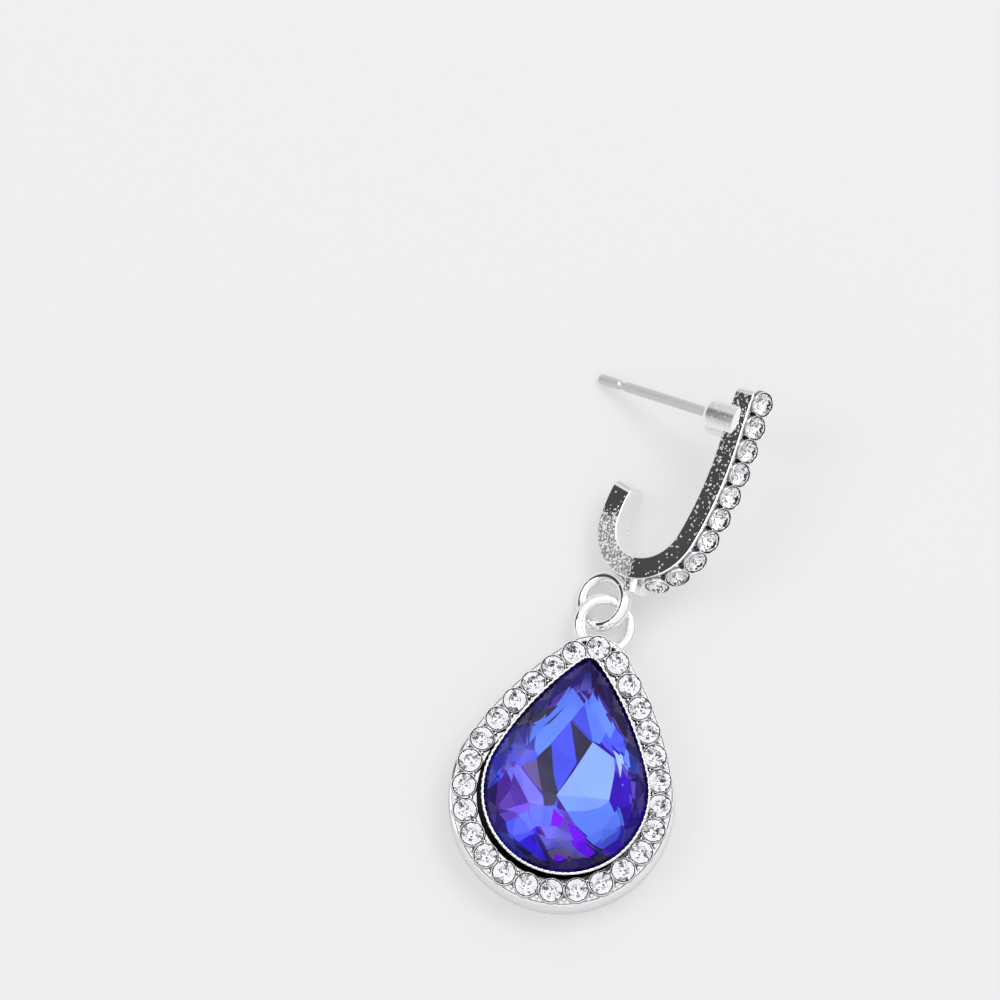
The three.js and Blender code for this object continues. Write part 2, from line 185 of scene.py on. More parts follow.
# %% A shape that collects shells
class Shape:
    """Points in millimetres, faces, and for each point how much painted shade darkens it in recesses."""

    def __init__(self):
        self.points = []
        self.faces = []
        self.finishes = []
        self.recess = []

    def add(self, points, faces, place=None, finish=0, recess=0.0):
        start = len(self.points)
        self.points += [place @ p if place else p for p in points]
        self.faces += [[start + i for i in face] for face in faces]
        self.finishes += [finish] * len(faces)
        self.recess += list(recess) if isinstance(recess, (list, tuple)) else [recess] * len(points)


FACETED = 1


def make_piece(name, shape, finishes, stands_for, place=Matrix(), sharp=35):
    """Makes the mesh, with its place on the earring in its points. Edges over the sharp angle stay."""
    mesh = bpy.data.meshes.new(name)
    mesh.from_pydata([(place @ p) * MM for p in shape.points], [], shape.faces)
    for finish in finishes:
        mesh.materials.append(finish)
    mesh.polygons.foreach_set("material_index", shape.finishes)
    # Each point's painted shade, the darkening of recesses, goes on the mesh as an attribute.
    recess = mesh.attributes.new("recess", "FLOAT", "POINT")
    recess.data.foreach_set("value", shape.recess)
    tidy = bmesh.new()
    tidy.from_mesh(mesh)
    bmesh.ops.recalc_face_normals(tidy, faces=tidy.faces)
    tidy.to_mesh(mesh)
    tidy.free()
    mesh.shade_smooth()
    mesh.set_sharp_from_angle(angle=math.radians(sharp))
    piece = bpy.data.objects.new(name, mesh)
    scene.collection.objects.link(piece)
    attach(piece, "root")
    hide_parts(stands_for)
    return piece


# %% Lofts and lathes
def loft_faces(rings, count, around=False):
    faces = []
    for r in range(rings if around else rings - 1):
        for i in range(count):
            near, far = r * count + i, ((r + 1) % rings) * count + i
            step = (i + 1) % count - i
            faces.append([near, near + step, far + step, far])
    return faces


def loft(rings, caps=True):
    count = len(rings[0])
    faces = loft_faces(len(rings), count)
    if caps:
        last = (len(rings) - 1) * count
        faces.append(list(range(count))[::-1])
        faces.append(list(range(last, last + count)))
    return [p for ring in rings for p in ring], faces


def lathe(profile, sides):
    """Turns (radius, height) pairs about +Z. The profile starts and ends on the axis."""
    turns = [2 * math.pi * i / sides for i in range(sides)]
    points = [Vector((0, 0, profile[0][1])), Vector((0, 0, profile[-1][1]))]
    rings = [[Vector((r * math.cos(a), r * math.sin(a), z)) for a in turns] for r, z in profile[1:-1]]
    faces = [[i + 2 for i in face] for face in loft_faces(len(rings), sides)]
    last = 2 + (len(rings) - 1) * sides
    for i in range(sides):
        faces.append([0, 2 + (i + 1) % sides, 2 + i])
        faces.append([1, last + i, last + (i + 1) % sides])
    return points + [p for ring in rings for p in ring], faces


def torus(radius, wire, sides=28, steps=84):
    rings = []
    for i in range(steps):
        along = 2 * math.pi * i / steps
        ring = []
        for k in range(sides):
            about = 2 * math.pi * k / sides
            reach = radius + wire / 2 * math.cos(about)
            height = wire / 2 * math.sin(about)
            ring.append(Vector((reach * math.cos(along), reach * math.sin(along), height)))
        rings.append(ring)
    return [p for ring in rings for p in ring], loft_faces(steps, sides, around=True)


def quarter(centre, radius, start, steps=6):
    """A quarter round in a profile, from one angle in degrees to 90 degrees less."""
    turns = [math.radians(start - 90 * i / steps) for i in range(steps + 1)]
    return [(centre[0] + radius * math.cos(a), centre[1] + radius * math.sin(a)) for a in turns]


print("the mesh helpers are ready")

# %% [markdown]
# The pear outline
#
# The teardrop is drawn with three arcs on each side: the round end, a long side and a small tip.
# A wall or a row of stones follows the same arcs with a larger radius, so the gaps stay even.


# %% Pear outline
PEAR_RADIUS = 6.5
PEAR_TIP = 10.9
PEAR_TIP_RADIUS = 0.9
PEAR_SHOULDER = math.radians(22)
HALO_OFFSET = 1.3


def pear_arcs(offset):
    tip_centre = PEAR_TIP - PEAR_TIP_RADIUS
    bulge = PEAR_RADIUS - PEAR_TIP_RADIUS
    reach = (tip_centre**2 - bulge**2) / (2 * (bulge - tip_centre * math.sin(PEAR_SHOULDER)))
    side = Vector((-reach * math.cos(PEAR_SHOULDER), -reach * math.sin(PEAR_SHOULDER)))
    side_end = math.atan2(tip_centre - side.y, -side.x)
    return (
        (Vector((0, 0)), PEAR_RADIUS + offset, -math.pi / 2, PEAR_SHOULDER),
        (side, reach + PEAR_RADIUS + offset, PEAR_SHOULDER, side_end),
        (Vector((0, tip_centre)), PEAR_TIP_RADIUS + offset, side_end, math.pi / 2),
    )


def half_length(offset):
    return sum(radius * (end - start) for _, radius, start, end in pear_arcs(offset))


def pear_place(distance, offset, measured=0.0):
    """The point at a distance from the bottom, measured along a parallel outline."""
    for (centre, radius, start, end), (_, ruler, _, _) in zip(pear_arcs(offset), pear_arcs(measured)):
        stretch = ruler * (end - start)
        if distance <= stretch or end == math.pi / 2:
            break
        distance -= stretch
    angle = start + distance / ruler
    outward = Vector((math.cos(angle), math.sin(angle)))
    return centre + outward * radius, outward


def pear_ring(offset, height, share=1.0, count=240, wave=None):
    """The whole outline at one height. It is divided evenly along the row of stones."""
    half = half_length(HALO_OFFSET)
    ring = []
    for i in range(count):
        travel = 2 * half * i / count
        side = 1 if travel <= half else -1
        extra = wave(i, count) if wave else (0.0, 0.0)
        spot, _ = pear_place(travel if side > 0 else 2 * half - travel, offset + extra[0], HALO_OFFSET)
        ring.append(Vector((side * spot.x * share, spot.y * share, height + extra[1])))
    return ring


print("the pear outline is", round(2 * half_length(0), 1), "mm round")


# %% Places of the halo stones
HALO_GIRDLE_Z = 3.67
HALO_STONES = 27


def halo_places():
    half = half_length(HALO_OFFSET)
    places = []
    for i in range(HALO_STONES):
        side = -1 if i > HALO_STONES // 2 else 1
        steps = HALO_STONES - i if side < 0 else i
        spot, _ = pear_place(half - steps * 2 * half / HALO_STONES, HALO_OFFSET, HALO_OFFSET)
        places.append(Vector((side * spot.x, spot.y, HALO_GIRDLE_Z)))
    return places


halo_spots = halo_places()
print("halo stones", len(halo_spots), "the first at", [round(v, 2) for v in halo_spots[0]])

# %% [markdown]
# The bent line of the hook
#
# The bar is bent flat, like a J. Its line starts at the top and runs down, then each segment turns
# it towards the side of the post. All places on the hook are found by walking along this line.


# %% Walk along the hook
BAR_TOP = 0.95
HOOK_SEGMENTS = (
    {"length": 4.95, "steps": 14},
    {"radius": 30.0, "turn": math.radians(15.5), "steps": 16},
    {"radius": 4.5, "turn": math.radians(74.5), "steps": 26},
    {"radius": 3.3, "turn": math.radians(90), "steps": 26},
    {"radius": 12.0, "turn": math.radians(15), "steps": 8},
)


def segment_length(segment, offset=0.0):
    return segment.get("length") or (segment["radius"] + offset) * segment["turn"]


def along_hook(distance, offset=0.0):
    point, heading = Vector((0, BAR_TOP, 0)), 0.0
    for segment in HOOK_SEGMENTS:
        whole = segment_length(segment, offset)
        share = min(1.0, distance / whole)
        outward = Vector((math.cos(heading), -math.sin(heading), 0))
        if "length" in segment:
            point = point + Vector((0, -segment["length"] * share, 0))
        else:
            centre = point - outward * segment["radius"]
            heading += segment["turn"] * share
            outward = Vector((math.cos(heading), -math.sin(heading), 0))
            point = centre + outward * segment["radius"]
        distance -= whole * share
        if distance <= 1e-9:
            break
    return point + outward * offset, heading, outward


def facing_out(point, heading, tilt=0.0):
    """Turns a setting's own +Z to the outward side of the bar, tilted towards the hook's front."""
    turn = Matrix.Rotation(-heading, 4, "Z") @ Matrix.Rotation(math.pi / 2 - tilt, 4, "Y")
    return Matrix.Translation(point) @ turn


hook_length = sum(segment_length(segment) for segment in HOOK_SEGMENTS)
print("the bar is", round(hook_length, 1), "mm long")

# %% Where the hook lies
BAR_THICKNESS = 1.8
EYE_RADIUS = 2.0
EYE_WIRE = 1.05
EYE_SET_BACK = 2.1
EYE_DROP = 0.2
RING_RADIUS = 2.1
RING_CENTRE = Vector((0.0, 14.5, 1.6))

up_to_bend = sum(segment_length(segment) for segment in HOOK_SEGMENTS[:2])
bend_bottom = along_hook(up_to_bend + segment_length(HOOK_SEGMENTS[2]))[0]
eye_centre = bend_bottom - Vector((EYE_SET_BACK, BAR_THICKNESS / 2 + EYE_DROP + EYE_RADIUS, 0))

HOOK_LEAN = (
    Matrix.Rotation(math.radians(-31.5), 4, "Y")
    @ Matrix.Rotation(math.radians(4.3), 4, "X")
    @ Matrix.Rotation(math.radians(-7.3), 4, "Z")
)
LINK_SLACK = 0.15
LINK_REACH = (RING_RADIUS + EYE_RADIUS) / 2 - LINK_SLACK
LINK_SHIFT = -0.55

eye_height = EYE_RADIUS * math.hypot(HOOK_LEAN[2][0], HOOK_LEAN[2][1]) + EYE_WIRE / 2
eye_spot = Vector((LINK_SHIFT, RING_CENTRE.y + LINK_REACH, eye_height))
HOOK_PLACE = Matrix.Translation(eye_spot - HOOK_LEAN @ eye_centre) @ HOOK_LEAN
print("the eye's centre is at", [round(v, 2) for v in eye_spot])

# %% [markdown]
# Plated metal
#
# The plating is almost a mirror. What tells it from a mirror is what lies under it: the casting's
# fine grain and small specks where the polishing didn't reach. The recesses are darkened with
# painted shade, standing in for the shadow that falls in them. All three are one shader node group,
# as the castings and the steel post share it with other values. The group puts out numbers and a
# colour, the colour with its painted shade, and the shader itself stays in each material.


# %% Node helpers
def new_group(name, inputs, outputs):
    group = bpy.data.node_groups.new(name, "ShaderNodeTree")
    for socket, kind, value in inputs:
        made = group.interface.new_socket(socket, in_out="INPUT", socket_type=kind)
        made.default_value = value
    for socket, kind in outputs:
        group.interface.new_socket(socket, in_out="OUTPUT", socket_type=kind)
    return group, group.nodes.new("NodeGroupInput"), group.nodes.new("NodeGroupOutput")


def math_node(tree, operation, first, second, clamp=False):
    node = tree.nodes.new("ShaderNodeMath")
    node.operation = operation
    node.use_clamp = clamp
    for socket, value in zip(node.inputs, (first, second)):
        if hasattr(value, "links"):
            tree.links.new(value, socket)
        else:
            socket.default_value = value
    return node.outputs[0]


def new_material(name):
    material = bpy.data.materials.new(name)
    material.use_nodes = True
    return material, material.node_tree, material.node_tree.nodes["Principled BSDF"]


# %% The group for casting grain, specks and painted shade in recesses
PATCH_SIZE = 420
SPECK_ROUGHNESS = 0.34


def make_cast_surface():
    number, colour = "NodeSocketFloat", "NodeSocketColor"
    group, given, out = new_group(
        "cast_surface_and_shade",
        (
            ("Colour", colour, (0.9, 0.9, 0.9, 1)), ("Painted Shade Colour", colour, (0.01, 0.01, 0.01, 1)),
            ("Grain Size", number, 9000.0), ("Speck Size", number, 6500.0),
            ("Speck Share", number, 0.3), ("Roughness", number, 0.08),
        ),
        (("Colour", colour), ("Roughness", number), ("Height", number)),
    )
    where = group.nodes.new("ShaderNodeTexCoord")
    grain = group.nodes.new("ShaderNodeTexNoise")
    grain.inputs["Detail"].default_value = 3
    patches = group.nodes.new("ShaderNodeTexNoise")
    patches.inputs["Scale"].default_value = PATCH_SIZE
    specks = group.nodes.new("ShaderNodeTexVoronoi")
    for texture, size in ((grain, "Grain Size"), (specks, "Speck Size")):
        group.links.new(given.outputs[size], texture.inputs["Scale"])
    for texture in (grain, patches, specks):
        group.links.new(where.outputs["Object"], texture.inputs["Vector"])
    chance = group.nodes.new("ShaderNodeSeparateColor")
    group.links.new(specks.outputs["Color"], chance.inputs[0])
    wanted = math_node(group, "MULTIPLY", given.outputs["Speck Share"], patches.outputs["Fac"])
    chosen = math_node(group, "LESS_THAN", chance.outputs[0], math_node(group, "MULTIPLY", wanted, 2.0))
    reach = math_node(group, "MULTIPLY", chance.outputs[2], 0.6)
    near = math_node(group, "LESS_THAN", specks.outputs["Distance"], math_node(group, "ADD", reach, 0.15))
    speck = math_node(group, "MULTIPLY", chosen, near)
    dull = math_node(group, "MULTIPLY", speck, SPECK_ROUGHNESS)
    rough = math_node(group, "ADD", given.outputs["Roughness"], dull)
    waver = math_node(group, "MULTIPLY", math_node(group, "SUBTRACT", patches.outputs["Fac"], 0.5), 0.1)
    group.links.new(math_node(group, "ADD", rough, waver, clamp=True), out.inputs["Roughness"])
    bumps = math_node(group, "MULTIPLY", speck, chance.outputs[1])
    fine = math_node(group, "MULTIPLY", grain.outputs["Fac"], 0.25)
    group.links.new(math_node(group, "ADD", bumps, fine), out.inputs["Height"])
    # Painted shade: the colour is mixed towards the dark one where the points lie in recesses.
    recess = group.nodes.new("ShaderNodeAttribute")
    recess.attribute_name = "recess"
    shade = group.nodes.new("ShaderNodeMix")
    shade.data_type = "RGBA"
    group.links.new(recess.outputs["Fac"], shade.inputs["Factor"])
    group.links.new(given.outputs["Colour"], shade.inputs["A"])
    group.links.new(given.outputs["Painted Shade Colour"], shade.inputs["B"])
    group.links.new(shade.outputs["Result"], out.inputs["Colour"])
    return group


cast_surface_and_shade = make_cast_surface()
print("group", cast_surface_and_shade.name, "has", len(cast_surface_and_shade.nodes), "nodes")


# %% Metal from the group
BUMP_DISTANCE = 0.02 * MM
DULLING = 0.045


def make_metal(name, colour, dark, values, bump, speck_mask=None):
    """A plated metal. A mask over 1 adds no more specks but dulls the metal."""
    material, tree, shader = new_material(name)
    surface = tree.nodes.new("ShaderNodeGroup")
    surface.node_tree = cast_surface_and_shade
    surface.inputs["Colour"].default_value = (*colour, 1)
    # The dark colour is the painted shade that recesses get.
    surface.inputs["Painted Shade Colour"].default_value = (*dark, 1)
    for socket, value in values.items():
        surface.inputs[socket].default_value = value
    if speck_mask:
        mask = tree.nodes.new("ShaderNodeAttribute")
        mask.attribute_name = speck_mask
        share = math_node(tree, "MULTIPLY", mask.outputs["Fac"], values["Speck Share"])
        over = math_node(tree, "MAXIMUM", math_node(tree, "SUBTRACT", mask.outputs["Fac"], 1.0), 0.0)
        dull = math_node(tree, "ADD", math_node(tree, "MULTIPLY", over, DULLING), values["Roughness"])
        tree.links.new(share, surface.inputs["Speck Share"])
        tree.links.new(dull, surface.inputs["Roughness"])
    relief = tree.nodes.new("ShaderNodeBump")
    relief.inputs["Strength"].default_value = bump
    relief.inputs["Distance"].default_value = BUMP_DISTANCE
    tree.links.new(surface.outputs["Colour"], shader.inputs["Base Color"])
    tree.links.new(surface.outputs["Roughness"], shader.inputs["Roughness"])
    tree.links.new(surface.outputs["Height"], relief.inputs["Height"])
    tree.links.new(relief.outputs["Normal"], shader.inputs["Normal"])
    shader.inputs["Metallic"].default_value = 1.0
    return material


PLATING = (0.92, 0.92, 0.93)
# Painted shade: the dark colour that recesses in the plating get.
PLATING_PAINTED_SHADE = (0.012, 0.012, 0.014)
polished = make_metal(
    "polished_plating", PLATING, PLATING_PAINTED_SHADE,
    {"Speck Share": 0.12, "Roughness": 0.09}, bump=0.25,
)
as_cast = make_metal(
    "as_cast_plating", PLATING, PLATING_PAINTED_SHADE,
    {"Speck Share": 0.5, "Roughness": 0.07}, bump=0.4, speck_mask="casting",
)
satin = make_metal(
    "satin_plating", (0.94, 0.94, 0.95), (0.3, 0.3, 0.3),
    {"Speck Share": 0.06, "Roughness": 0.27}, bump=0.15,
)
print("finishes", polished.name, as_cast.name, satin.name)

# %% [markdown]
# The halo casting
#
# The frame of the pendant is one casting: a flat back, a wall that follows the pear outline, and a
# row of small round cups for the stones. The wall is a loft of pear rings through one profile, with
# rounded edges and two fine grooves round its foot. These grooves, a groove along the top, the trough
# under the cups and the inner wall are darkened with painted shade. Each cup has a bright lip and a
# bright foot with a band of painted shade between them. Neighbouring cups run into each other a
# little, as on the real piece.

# %% Profile of the wall
OUTER_OFFSET = 2.4
CAVITY_OFFSET = 0.22
HALO_FLARE = 0.12
WALL_TOP = 3.15
PLATE_TOP = 0.8
TROUGH_HALF = 0.6
TROUGH_FLOOR = 2.75
WALL_LINES = (0.6, 0.97, WALL_TOP - 0.06)
FOOT = OUTER_OFFSET + HALO_FLARE
WALL_PROFILE = (
    (FOOT - 0.10, 0.0), (FOOT - 0.03, 0.03), (FOOT, 0.10), (FOOT - 0.02, 0.55), (FOOT - 0.08, 0.60),
    (FOOT - 0.03, 0.66), (FOOT - 0.04, 0.92), (FOOT - 0.10, 0.97), (FOOT - 0.05, 1.03),
    (OUTER_OFFSET + 0.02, 2.3), (OUTER_OFFSET, 3.02), (OUTER_OFFSET - 0.03, 3.11),
    (OUTER_OFFSET - 0.11, WALL_TOP), (OUTER_OFFSET - 0.15, WALL_TOP - 0.06),
    (OUTER_OFFSET - 0.19, WALL_TOP),
    (HALO_OFFSET + 0.62, WALL_TOP), (HALO_OFFSET + TROUGH_HALF, TROUGH_FLOOR),
    (HALO_OFFSET - TROUGH_HALF, TROUGH_FLOOR), (HALO_OFFSET - 0.62, WALL_TOP),
    (CAVITY_OFFSET + 0.06, WALL_TOP),
    (CAVITY_OFFSET, 3.09), (CAVITY_OFFSET, PLATE_TOP),
)


def make_wall(shape):
    rings = [pear_ring(offset, height) for offset, height in WALL_PROFILE]
    points, faces = loft(rings)
    # Painted shade: the trough under the cups, the inner wall and the fine grooves are darkened.
    deep = [1.0 if height == TROUGH_FLOOR else 0.0 for _, height in WALL_PROFILE]
    deep[-2:] = 1.0, 1.0
    for i, (_, height) in enumerate(WALL_PROFILE):
        if height in WALL_LINES:
            deep[i] = 0.85
    shape.add(points, faces, recess=[value for value in deep for _ in rings[0]])


halo_shape = Shape()
make_wall(halo_shape)
print("wall", len(halo_shape.faces), "faces")


# %% A round cup, with its origin at the stone's girdle
SEAT_RADIUS = 0.955
SETTING_RADIUS = 1.025
LIP_RISE = 0.08
CUP_FLOOR = 0.03
HALO_CUP = {"skirt": 0.95, "foot": 0.05}
HOOK_CUP = {"skirt": 0.77, "foot": 0.09}


def cup_profile(skirt, foot):
    lip = 0.045
    base = SETTING_RADIUS + foot
    return (
        [(0, -skirt), (base, -skirt), (base, -0.46), (base - foot / 3, -0.42)]
        + [(SETTING_RADIUS, -0.39), (SETTING_RADIUS, -0.2)]
        + quarter((SETTING_RADIUS - lip, LIP_RISE - lip), lip, 90, 4)[::-1]
        + quarter((SEAT_RADIUS + lip, LIP_RISE - lip), lip, 180, 4)[::-1]
        + [(SEAT_RADIUS, -0.07), (0.2, CUP_FLOOR - skirt), (0, CUP_FLOOR - skirt)]
    )


def add_cup(shape, place, skirt, foot, sides=40):
    profile = cup_profile(skirt, foot)
    points, faces = lathe(profile, sides)
    # Painted shade: the seat inside the cup and the band between lip and foot are darkened.
    deep = [0.0] * len(profile)
    for i, (r, z) in enumerate(profile):
        if r < SEAT_RADIUS + 0.001 and z < 0.04:
            deep[i] = 1.0
        elif -0.4 < z < -0.15:
            deep[i] = 0.8
    rings_painted_shade = [value for value in deep[1:-1] for _ in range(sides)]
    shape.add(points, faces, place, recess=[deep[0], deep[-1]] + rings_painted_shade)


def add_bead(shape, centre, radius):
    turns = [math.pi * i / 8 for i in range(9)]
    profile = [(radius * math.sin(a), -radius * math.cos(a)) for a in turns]
    points, faces = lathe(profile, 14)
    shape.add(points, faces, Matrix.Translation(centre))


for centre in halo_spots:
    add_cup(halo_shape, Matrix.Translation(centre), **HALO_CUP)
print("cups added,", len(halo_shape.faces), "faces")


# %% Beads between the cups, and the ring on the tip
RING_WIRE = 0.95
RING_TWIST = math.radians(10)
BEADS = ({"reach": 0.66, "radius": 0.17}, {"reach": -0.62, "radius": 0.15})
BEAD_DROP = 0.08


def add_halo_beads(shape):
    half = half_length(HALO_OFFSET)
    for i in range(HALO_STONES):
        travel = (2 * half * (i + 0.5) / HALO_STONES + half) % (2 * half)
        side = 1 if travel < half else -1
        spot, outward = pear_place(half - abs(half - travel), HALO_OFFSET, HALO_OFFSET)
        for bead in BEADS:
            centre = spot + outward * bead["reach"]
            place = Vector((side * centre.x, centre.y, HALO_GIRDLE_Z - BEAD_DROP))
            add_bead(shape, place, bead["radius"])


add_halo_beads(halo_shape)
ring_points, ring_faces = torus(RING_RADIUS, RING_WIRE)
ring_place = Matrix.Translation(RING_CENTRE) @ Matrix.Rotation(RING_TWIST, 4, "Y")
halo_shape.add(ring_points, ring_faces, ring_place)
halo = make_piece("halo_casting", halo_shape, [polished], "halo_frame")
print("halo casting", len(halo.data.polygons), "faces")

# %% [markdown]
# The cup of the big crystal
#
# A thin cup stands inside the halo with a gap all round. The gap is dark from its own shade and from
# painted shade on the cup's outer wall and inside. Its rim is only a sheet of metal, rolled over the
# crystal with small teeth, so that it glitters like a serrated line.

# %% Cup with a toothed rim
PEAR_GIRDLE_Z = 4.76
PEAR_BACK = 1.3
PEAR_BACK_SHARE = 0.78
PEAR_BACK_LEVEL = 0.65
PEAR_KEEL_SHARE = 0.16
CENTRE_SHIFT = Vector((0.3, 0.08, 0.0))
CENTRE_TURN = math.radians(3.4)
CUP_BASE_Z = 0.86
CUP_HOLLOW_TOP = 2.86
CUP_RIM_Z = 5.06
CUP_OUTER = 0.22
CUP_INNER = 0.06
CUP_FOOT_SHARE = 0.62
CUP_HOLLOW_SHARE = 0.76
CUP_SKIRT_SHARE = 0.7
TEETH = 96
CENTRE_PLACE = Matrix.Translation(CENTRE_SHIFT) @ Matrix.Rotation(CENTRE_TURN, 4, "Z")


def tooth(i, count):
    swing = math.cos(2 * math.pi * TEETH * i / count)
    return 0.02 * swing, 0.055 * swing


def make_stone_cup():
    steps = 6 * TEETH
    under_stone = PEAR_GIRDLE_Z - CUP_INNER
    skirt = CUP_OUTER - 0.06
    rings = [
        pear_ring(skirt, CUP_HOLLOW_TOP, CUP_HOLLOW_SHARE, steps),
        pear_ring(skirt, CUP_BASE_Z, CUP_FOOT_SHARE, steps),
        pear_ring(skirt, CUP_BASE_Z, CUP_SKIRT_SHARE, steps),
        pear_ring(CUP_OUTER - 0.01, CUP_RIM_Z - 0.3, 1.0, steps),
        pear_ring(CUP_OUTER, CUP_RIM_Z - 0.07, 1.0, steps, tooth),
        pear_ring(CUP_OUTER - 0.03, CUP_RIM_Z - 0.02, 1.0, steps, tooth),
        pear_ring(CUP_OUTER - 0.08, CUP_RIM_Z, 1.0, steps, tooth),
        pear_ring(CUP_INNER - 0.02, CUP_RIM_Z - 0.03, 1.0, steps, tooth),
        pear_ring(CUP_INNER - 0.04, CUP_RIM_Z - 0.12, 1.0, steps),
        pear_ring(CUP_INNER, CUP_RIM_Z - 0.16, 1.0, steps),
        pear_ring(CUP_INNER, under_stone, 1.0, steps),
        pear_ring(CUP_INNER, under_stone - PEAR_BACK * PEAR_BACK_LEVEL, PEAR_BACK_SHARE, steps),
        pear_ring(CUP_INNER, under_stone - PEAR_BACK, PEAR_KEEL_SHARE, steps),
    ]
    shape = Shape()
    points, faces = loft(rings)
    # Painted shade: the outer wall below the rim and the inside of the cup are darkened, the rim stays
    # bright.
    deep = [1.0] * 4 + [0.0] * 4 + [0.5] + [1.0] * 4
    shape.add(points, faces, recess=[value for value in deep for _ in rings[0]])
    return make_piece("crystal_cup", shape, [polished], "stone_cup", CENTRE_PLACE)


cup = make_stone_cup()
print("crystal cup", len(cup.data.polygons), "faces")

# %% [markdown]
# Crystal and foil
#
# The front of a crystal is glass, clear on the small ones and faintly blue on the big one. The back
# facets carry a metal foil. On the small crystals it is silver, with a darker copy of it on a few
# facets, which is painted shade. On the big one the foil's tone changes from facet to facet between
# pale blue, ultramarine, violet and nearly black. Its blue and violet are the crystal's own colour,
# and how light or dark each facet is, is painted light and shade for what that facet reflects. The
# tone is written on the faces as an attribute, and one colour ramp turns it into the colours.

# %% Clear glass and silver foil
def make_glass(name, colour, index, glint):
    material, _, shader = new_material(name)
    shader.inputs["Base Color"].default_value = (*colour, 1)
    shader.inputs["IOR"].default_value = index
    shader.inputs["Transmission Weight"].default_value = 1.0
    shader.inputs["Roughness"].default_value = 0.0
    shader.inputs["Specular Tint"].default_value = (*glint, 1)
    return material


def make_silver_foil(name, brightness):
    material, _, shader = new_material(name)
    shader.inputs["Base Color"].default_value = (brightness, brightness, brightness * 1.02, 1)
    shader.inputs["Metallic"].default_value = 1.0
    shader.inputs["Roughness"].default_value = 0.03
    return material


clear_glass = make_glass("clear_glass", (1.0, 1.0, 1.0), 1.55, (1.0, 1.0, 1.0))
blue_glass = make_glass("blue_glass", (0.96, 0.96, 1.0), 1.5, (0.45, 0.35, 1.0))
silver_foil = make_silver_foil("silver_foil", 0.97)
# A darker copy of the silver foil: painted shade for the dark reflections of a few back facets.
painted_shade_foil = make_silver_foil("painted_shade_foil", 0.28)
print("finishes", clear_glass.name, blue_glass.name, silver_foil.name, painted_shade_foil.name)

# %% Coloured foil, with painted light and shade
# Foil colours with painted light and shade in them: the pale blues stand in for bright reflections, navy
# and nearly black for dark ones.
FOIL_COLOURS_AND_PAINTED_LIGHT = {
    "pale_blue": (0.26, 0.42, 1.0),
    "sky_blue": (0.20, 0.34, 1.0),
    "light_blue": (0.11, 0.22, 1.0),
    "mid_blue": (0.065, 0.09, 0.8),
    "lavender": (0.105, 0.1, 0.55),
    "pure_blue": (0.03, 0.01, 0.75),
    "ultramarine": (0.03, 0.003, 0.42),
    "violet": (0.16, 0.002, 0.95),
    "soft_violet": (0.09, 0.045, 0.42),
    "grey_violet": (0.11, 0.085, 0.25),
    "dark_violet": (0.045, 0.015, 0.2),
    "navy": (0.015, 0.006, 0.1),
    "nearly_black": (0.03, 0.03, 0.05),
}
FOIL_TONES = {name: (i + 0.5) / len(FOIL_COLOURS_AND_PAINTED_LIGHT) for i, name in enumerate(FOIL_COLOURS_AND_PAINTED_LIGHT)}


def make_coloured_foil():
    material, tree, shader = new_material("foil_colour_and_painted_light")
    tone = tree.nodes.new("ShaderNodeAttribute")
    tone.attribute_name = "tone"
    ramp = tree.nodes.new("ShaderNodeValToRGB")
    ramp.color_ramp.interpolation = "CONSTANT"
    stops = ramp.color_ramp.elements
    stops.remove(stops[1])
    for i, colour in enumerate(FOIL_COLOURS_AND_PAINTED_LIGHT.values()):
        stop = stops[0] if i == 0 else stops.new(i / len(FOIL_COLOURS_AND_PAINTED_LIGHT))
        stop.color = (*colour, 1)
    tree.links.new(tone.outputs["Fac"], ramp.inputs["Fac"])
    tree.links.new(ramp.outputs["Color"], shader.inputs["Base Color"])
    shader.inputs["Metallic"].default_value = 1.0
    shader.inputs["Roughness"].default_value = 0.3
    return material


foil_colour_and_painted_light = make_coloured_foil()
print(foil_colour_and_painted_light.name, "has", len(FOIL_COLOURS_AND_PAINTED_LIGHT), "colours")

# %% [markdown]
# The big crystal
#
# The cut is a pear brilliant: a flat table, a belt of small crown facets and a thin girdle. Its back
# is shallow, so each back facet is seen once and shows one clean tone. The corners of the large back
# facets were read off the photograph. They are written as its pixels and carried through the
# camera down to the crystal. A flat triangulation joins them with the girdle, and then each corner
# sinks to the depth that the back has there.

# %% Corners and facets of the crown
PEAR_CROWN = 2.0
FACET_COUNT = 16
TABLE_SHARE = 0.68
CROWN_SHARE = 0.87
CROWN_LEVEL = 0.62


def pear_corners(share, height, count, start=0.0):
    """Corners spaced evenly round the pear outline, drawn in towards its middle by the share."""
    half = half_length(0)
    corners = []
    for i in range(count):
        travel = (2 * half * (i + start) / count) % (2 * half)
        side = 1 if travel <= half else -1
        spot, _ = pear_place(travel if side > 0 else 2 * half - travel, 0)
        corners.append(Vector((side * spot.x * share, spot.y * share, height)))
    return corners


def crown_faces(table, crown, girdle, count):
    """Faces between three rows of corners, each row given by the number of its first corner."""
    faces = [[table + i for i in range(count)]]
    for i in range(count):
        after = (i + 1) % count
        faces.append([table + i, crown + i, table + after])
        faces.append([table + i, crown + (i - 1) % count, girdle + 2 * i, crown + i])
        faces.append([crown + i, girdle + 2 * i, girdle + 2 * i + 1])
        faces.append([crown + i, girdle + 2 * i + 1, girdle + (2 * i + 2) % (2 * count)])
    return faces


def girdle_faces(upper, lower, count):
    after = [(i + 1) % count for i in range(count)]
    return [[upper + i, lower + i, lower + after[i], upper + after[i]] for i in range(count)]


print("the crown has", len(crown_faces(0, FACET_COUNT, 2 * FACET_COUNT, FACET_COUNT)), "facets")

